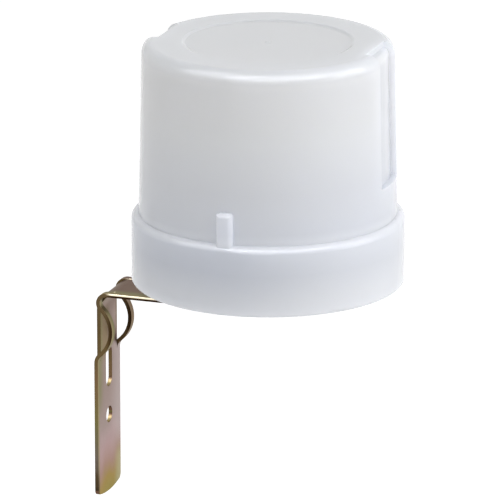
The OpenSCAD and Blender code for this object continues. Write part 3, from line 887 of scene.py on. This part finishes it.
@dataclass
class ControlBoard(SubAssembly):
    """The circuit board with its relay and small components, and the marks painted on them.

    Places are measured from the cover's axis, and heights from the top of the board.
    """

    axis_x: float = AXIS_X
    top_z: float = 51.7 * MM
    lift: float = 0.3 * MM
    paint: float = 0.03 * MM
    paint_edge: float = 0.01 * MM
    paint_edge_steps: int = 2
    band_w: float = 0.5 * MM
    band_sides: int = 48
    resistor_d: float = 2 * MM
    resistor_places: tuple[tuple[float, float, float], ...] = (
        (16.8 * MM, 9 * MM, 90.0), (-9 * MM, 15.4 * MM, 0.0), (-7 * MM, -5.9 * MM, 0.0),
    )
    resistor_axis: float = 1.45 * MM
    resistor_bands: tuple[float, ...] = (-0.95 * MM, -0.15 * MM, 0.65 * MM, 1.1 * MM)
    resistor_codes: tuple[tuple[BandColour, ...], ...] = (
        (BandColour.BROWN, BandColour.BLACK, BandColour.YELLOW, BandColour.GOLD),
        (BandColour.YELLOW, BandColour.VIOLET, BandColour.RED, BandColour.GOLD),
        (BandColour.RED, BandColour.RED, BandColour.BROWN, BandColour.GOLD),
    )
    diode_d: float = 2.7 * MM
    diode_x: float = 8 * MM
    diode_rows: tuple[float, ...] = (-4.5 * MM, -1 * MM, 2.5 * MM, 6 * MM)
    diode_mark: float = 1.7 * MM
    zener_d: float = 1.9 * MM
    zener_at: tuple[float, float] = (11 * MM, -8.4 * MM)
    zener_mark: float = 1.2 * MM
    can_d: float = 10 * MM
    can_at: tuple[float, float] = (8 * MM, 13 * MM)
    can_sides: int = 96
    can_stripe: Span = (3.5 * MM, 14.5 * MM)
    stripe_half_turn: float = 22.0

    def finishes(self) -> dict[str, Finish]:
        """Choose the finish of the board and of everything soldered to it.

        Returns:
            The finish of each node.
        """
        black = MouldedPlastic("moulded_black", tint(44, 44, 46), tint(34, 34, 36), rough=0.46)
        finishes: dict[str, Finish] = {node: TINNED_LEADS for node in (
            "relay_pins", "dropper_leads", "smoothing_leads", "rectifier_leads", "zener_leads",
            "resistor_leads", "transistor_leads", "varistor_leads",
        )}
        finishes.update({
            "circuit_board": PaperLaminate(
                "paper_board", tint(184, 146, 92), tint(162, 122, 70), tint(206, 176, 126)
            ),
            "board_screws": BRIGHT_PLATING,
            "wire_eyelets": BareMetal(
                "rolled_brass", tint(216, 184, 108), tint(194, 158, 84), rough=0.26, streak=0.4 * MM
            ),
            "solder_joints": BareMetal(
                "set_solder", tint(206, 207, 210), tint(176, 178, 182), rough=0.2, streak=0.8 * MM
            ),
            "relay_case": MouldedPlastic(
                "blue_case", tint(44, 98, 176), tint(36, 84, 158), rough=0.3, grain=0.4 * MM
            ),
            "dropper_capacitor": MouldedPlastic(
                "red_dip", tint(160, 42, 34), tint(136, 32, 26),
                rough=0.22, grain=2 * MM, relief=0.16,
            ),
            "smoothing_capacitor": MouldedPlastic(
                "can_wrap", tint(38, 44, 78), tint(30, 34, 64), rough=0.24, grain=1.2 * MM
            ),
            "rectifier_diodes": black,
            "transistor": black,
            "zener_diode": MouldedPlastic(
                "amber_glass", tint(206, 118, 66), tint(180, 90, 50),
                rough=0.1, grain=1 * MM, relief=0.03,
            ),
            "resistors": MouldedPlastic(
                "tan_lacquer", tint(206, 180, 138), tint(192, 164, 120), rough=0.26, grain=0.6 * MM
            ),
            "varistor": MouldedPlastic(
                "blue_dip", tint(70, 118, 170), tint(56, 100, 150),
                rough=0.24, grain=1.6 * MM, relief=0.16,
            ),
        })
        return finishes

    def finish_piece(
        self, piece: bpy.types.Object, name: str, paint: BandColour, slot: str
    ) -> None:
        """Name a painted mark, paint it, and let it go with the part.

        Args:
            piece: The mark.
            name: Its name.
            paint: Its colour.
            slot: Not used.
        """
        bpy.ops.object.select_all(action="DESELECT")
        piece.select_set(True)
        bpy.context.view_layer.objects.active = piece
        bpy.ops.object.transform_apply(location=True, rotation=True, scale=True)
        bpy.ops.object.shade_smooth_by_angle(angle=SMOOTH_ANGLE)
        piece.name = piece.data.name = name
        piece.data.materials.clear()
        piece.data.materials.append(paint.finish().material())
        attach(piece, BODY)
        LOG.info("%s: %s", name, paint.name.lower())

    def coat(self, piece: bpy.types.Object) -> None:
        """Turn an open skin into a coat of paint with eased edges.

        Args:
            piece: The skin, which is the active object.
        """
        skin = piece.modifiers.new("coat", "SOLIDIFY")
        skin.thickness, skin.offset = self.paint, 1.0
        bpy.ops.object.modifier_apply(modifier=skin.name)
        edge = piece.modifiers.new("edge", "BEVEL")
        edge.width, edge.segments = self.paint_edge, self.paint_edge_steps
        bpy.ops.object.modifier_apply(modifier=edge.name)

    def ring(self, diameter: float, width: float) -> bpy.types.Object:
        """Model a ring of paint around a body that lies along X at the origin.

        Args:
            diameter: The body's diameter.
            width: The ring's width.

        Returns:
            The ring.
        """
        bpy.ops.object.select_all(action="DESELECT")
        bpy.ops.mesh.primitive_cylinder_add(
            vertices=self.band_sides, radius=diameter / 2, depth=width, end_fill_type="NOTHING",
            rotation=(0, math.pi / 2, 0),
        )
        piece = bpy.context.object
        bpy.ops.object.transform_apply(location=False, rotation=True, scale=False)
        self.coat(piece)
        return piece

    def copied(self, piece: bpy.types.Object, at: Point, turn: float = 0.0) -> bpy.types.Object:
        """Copy a piece, with a mesh of its own.

        Args:
            piece: The piece.
            at: Where the copy goes.
            turn: How far it is turned about the upright.

        Returns:
            The copy.
        """
        bpy.ops.object.select_all(action="DESELECT")
        piece.select_set(True)
        bpy.context.view_layer.objects.active = piece
        bpy.ops.object.duplicate(linked=False)
        copy = bpy.context.object
        copy.location = at
        copy.rotation_euler.z = turn
        return copy

    def band_resistors(self) -> None:
        """Band each resistor with its code."""
        ring = self.ring(self.resistor_d, self.band_w)
        height = self.top_z + self.resistor_axis
        coded = zip(self.resistor_places, self.resistor_codes)
        for number, ((x, y, degrees), code) in enumerate(coded, 1):
            turn = math.radians(degrees)
            for step, (offset, paint) in enumerate(zip(self.resistor_bands, code), 1):
                along, across = offset * math.cos(turn), offset * math.sin(turn)
                piece = self.copied(ring, (self.axis_x + x + along, y + across, height), turn)
                name = f"resistor_{number}_band_{step}"
                self.finish_piece(piece, name, paint, "resistor_lacquer")
        bpy.data.objects.remove(ring)

    def band_diodes(self) -> None:
        """Band one end of each diode."""
        ring = self.ring(self.diode_d, 2 * self.band_w)
        height = self.top_z + self.lift + self.diode_d / 2
        for number, row in enumerate(self.diode_rows, 1):
            at = (self.axis_x + self.diode_x + self.diode_mark, row, height)
            piece = self.copied(ring, at)
            self.finish_piece(piece, f"diode_{number}_band", BandColour.SILVER, "diode_resin")
        bpy.data.objects.remove(ring)
        ring = self.ring(self.zener_d, self.band_w)
        x, y = self.zener_at
        height = self.top_z + self.lift + self.zener_d / 2
        ring.location = (self.axis_x + x + self.zener_mark, y, height)
        self.finish_piece(ring, "zener_band", BandColour.BLACK, "zener_glass")

    def stripe_can(self) -> None:
        """Mark the can's negative side with an upright stripe, cut from a tube around it."""
        low, high = self.can_stripe
        x, y = self.can_at
        bpy.ops.object.select_all(action="DESELECT")
        bpy.ops.mesh.primitive_cylinder_add(
            vertices=self.can_sides, radius=self.can_d / 2, depth=high - low,
            end_fill_type="NOTHING",
            location=(self.axis_x + x, y, self.top_z + (low + high) / 2),
        )
        piece = bpy.context.object
        bpy.ops.object.mode_set(mode="EDIT")
        bpy.ops.mesh.select_mode(type="FACE")
        bpy.ops.mesh.select_all(action="DESELECT")
        bpy.ops.object.mode_set(mode="OBJECT")
        outwards = Vector((1, 0, 0))
        for polygon in piece.data.polygons:
            turn = math.degrees(polygon.normal.angle(outwards))
            polygon.select = turn > self.stripe_half_turn
        bpy.ops.object.mode_set(mode="EDIT")
        bpy.ops.mesh.delete(type="FACE")
        bpy.ops.object.mode_set(mode="OBJECT")
        self.coat(piece)
        self.finish_piece(piece, "can_stripe", BandColour.SILVER, "can_sleeve")

    def build(self) -> None:
        """Paint the marks on the components."""
        self.band_resistors()
        self.band_diodes()
        self.stripe_can()


@dataclass
class LightSensor(SubAssembly):
    """The light sensor below the cover's top, on sleeved leads."""

    track_share: float = 0.62

    def finishes(self) -> dict[str, Finish]:
        """Choose the ceramic, the track under its resin, the leads and the sleeves.

        Returns:
            The finish of each node.
        """
        low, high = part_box("sensor_window")
        middle_y = (low.y + high.y) / 2
        track = SensorTrack(
            "winding_track", tint(176, 84, 44), tint(214, 190, 150), middle_y,
            (high.y - middle_y) * self.track_share,
        )
        return {
            "light_sensor": MouldedPlastic(
                "unglazed_ceramic", tint(232, 226, 214), tint(220, 212, 198), rough=0.6
            ),
            "sensor_window": track,
            "sensor_leads": TINNED_LEADS,
            "sensor_sleeves": MouldedPlastic(
                "black_sleeve", tint(52, 52, 54), tint(42, 42, 44), rough=0.5
            ),
        }


@dataclass(frozen=True)
class Softbox:
    """A rectangular lamp that faces the object, or a panel that only shows in its gloss."""

    name: str
    azimuth: float
    elevation: float
    distance: float
    width: float
    height: float
    radiance: float
    mirrored: bool = False


@dataclass
class Studio:
    """The floor, the lamps, the white surround and the camera."""

    floor_drop: float = 0.25
    floor_size: float = 9.0
    floor_colour: Rgb = (0.8, 0.8, 0.8, 1.0)
    floor_lift: float = 0.64
    ambient: float = 0.455
    ambient_colour: Rgb = (1.0, 1.0, 1.0, 1.0)
    lamp_colour: Point = (0.97, 0.99, 1.06)
    lens: float = 455.46
    sensor: float = 36.0
    nearest: float = 0.05
    farthest: float = 30.0
    azimuth: float = 19.2
    elevation: float = 16.403
    distance: float = 1.6229
    target: Point = (0.03981, 0.0, 0.048275)
    lamps: tuple[Softbox, ...] = (
        Softbox("key", 98, 20, 1.2, 0.9, 0.9, 2.6),
        Softbox("front", 8, 10, 1.2, 0.9, 0.9, 0.7),
        Softbox("overhead_front", 20, 43, 0.9, 0.7, 0.03, 12.5),
        Softbox("overhead_left", -42, 43, 0.9, 0.8, 0.03, 8.5),
        Softbox("overhead_right", 84, 44, 0.9, 0.8, 0.03, 11.7),
        Softbox("panel_left", -36, 45, 0.9, 0.95, 0.9, 2.8, mirrored=True),
        Softbox("panel_right", 31, 45, 0.9, 1.4, 0.9, 3.2, mirrored=True),
    )

    @staticmethod
    def direction(azimuth: float, elevation: float) -> Vector:
        """Return the way from the object to what stands at these angles, in degrees."""
        a, e = math.radians(azimuth), math.radians(elevation)
        return Vector((math.sin(a) * math.cos(e), -math.cos(a) * math.cos(e), math.sin(e)))

    def stand(
        self, thing: bpy.types.Object, azimuth: float, elevation: float, distance: float
    ) -> None:
        """Put a lamp or the camera in the scene, and aim it at the target.

        Args:
            thing: The lamp or the camera.
            azimuth: Its angle round the object, in degrees.
            elevation: Its angle above the object, in degrees.
            distance: Its distance from the target.
        """
        bpy.context.scene.collection.objects.link(thing)
        away = self.direction(azimuth, elevation)
        thing.location = Vector(self.target) + away * distance
        thing.rotation_euler = away.to_track_quat("Z", "Y").to_euler()

    def build(self) -> None:
        """Set up everything around the object."""
        self.build_floor()
        self.build_surround()
        for lamp in self.lamps:
            self.build_lamp(lamp)
        self.build_camera()
        bpy.context.scene.view_settings.view_transform = "Standard"

    def seen(self, graph: Graph) -> Socket:
        """Find the rays that show the background.

        Args:
            graph: The tree of the floor or of the surround.

        Returns:
            1 for rays from the camera and those that it sees by a mirror or through glass.
        """
        camera, glossy, through = (
            graph.add("ShaderNodeLightPath", {}, {}, name)
            for name in ("Is Camera Ray", "Is Glossy Ray", "Is Transmission Ray")
        )
        return graph.most(graph.most(camera, glossy), through)

    def build_floor(self) -> None:
        """Lay a pale floor below the object, which a view from beneath looks through."""
        bpy.ops.object.select_all(action="DESELECT")
        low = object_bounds()[0].z - self.floor_drop
        bpy.ops.mesh.primitive_plane_add(size=self.floor_size, location=(0, 0, low))
        floor = bpy.context.object
        floor.name = "floor"
        material = bpy.data.materials.new("pale_floor")
        material.use_nodes = True
        graph = Graph(material.node_tree)
        pale = graph.add("ShaderNodeBsdfDiffuse", {}, {"Color": self.floor_colour})
        lift = graph.add("ShaderNodeEmission", {}, {"Strength": self.seen(graph) * self.floor_lift})
        lit = graph.add("ShaderNodeAddShader", {}, {0: pale, 1: lift})
        under = graph.add("ShaderNodeNewGeometry", {}, {}, "Backfacing")
        clear = graph.add("ShaderNodeBsdfTransparent", {}, {})
        both = graph.add("ShaderNodeMixShader", {}, {0: under, 1: lit, 2: clear})
        graph.add("ShaderNodeOutputMaterial", {}, {"Surface": both}, None)
        floor.data.materials.append(material)
        floor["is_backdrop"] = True

    def build_surround(self) -> None:
        """Make the surround white to the camera, and plain soft light to everything else."""
        world = bpy.data.worlds.new("surround")
        world.use_nodes = True
        bpy.context.scene.world = world
        graph = Graph(world.node_tree)
        strength = self.ambient + self.seen(graph) * (1 - self.ambient)
        inputs = {"Color": self.ambient_colour, "Strength": strength}
        light = graph.add("ShaderNodeBackground", {}, inputs)
        graph.add("ShaderNodeOutputWorld", {}, {"Surface": light}, None)

    def build_lamp(self, lamp: Softbox) -> None:
        """Hang one softbox, with its light spread over its face.

        Args:
            lamp: Its place, size and brightness.
        """
        data = bpy.data.lights.new(lamp.name, "AREA")
        data.shape = "RECTANGLE"
        data.size, data.size_y = lamp.width, lamp.height
        data.energy = lamp.radiance * math.pi * lamp.width * lamp.height
        data.color = self.lamp_colour
        box = bpy.data.objects.new(lamp.name, data)
        box.visible_diffuse = not lamp.mirrored
        self.stand(box, lamp.azimuth, lamp.elevation, lamp.distance)

    def build_camera(self) -> None:
        """Stand the camera where the photograph was taken from."""
        data = bpy.data.cameras.new("camera")
        data.lens, data.sensor_width = self.lens, self.sensor
        data.clip_start, data.clip_end = self.nearest, self.farthest
        camera = bpy.data.objects.new("camera", data)
        self.stand(camera, self.azimuth, self.elevation, self.distance)
        bpy.context.scene.camera = camera


def main() -> None:
    """Build and dress each sub-assembly, and then the studio around them."""
    logging.basicConfig(level=logging.INFO, format="%(name)s: %(message)s")
    for group in (Housing(), WallBracket(), ControlBoard(), LightSensor()):
        group.build()
        group.dress()
    Studio().build()


if __name__ == "__main__":
    main()
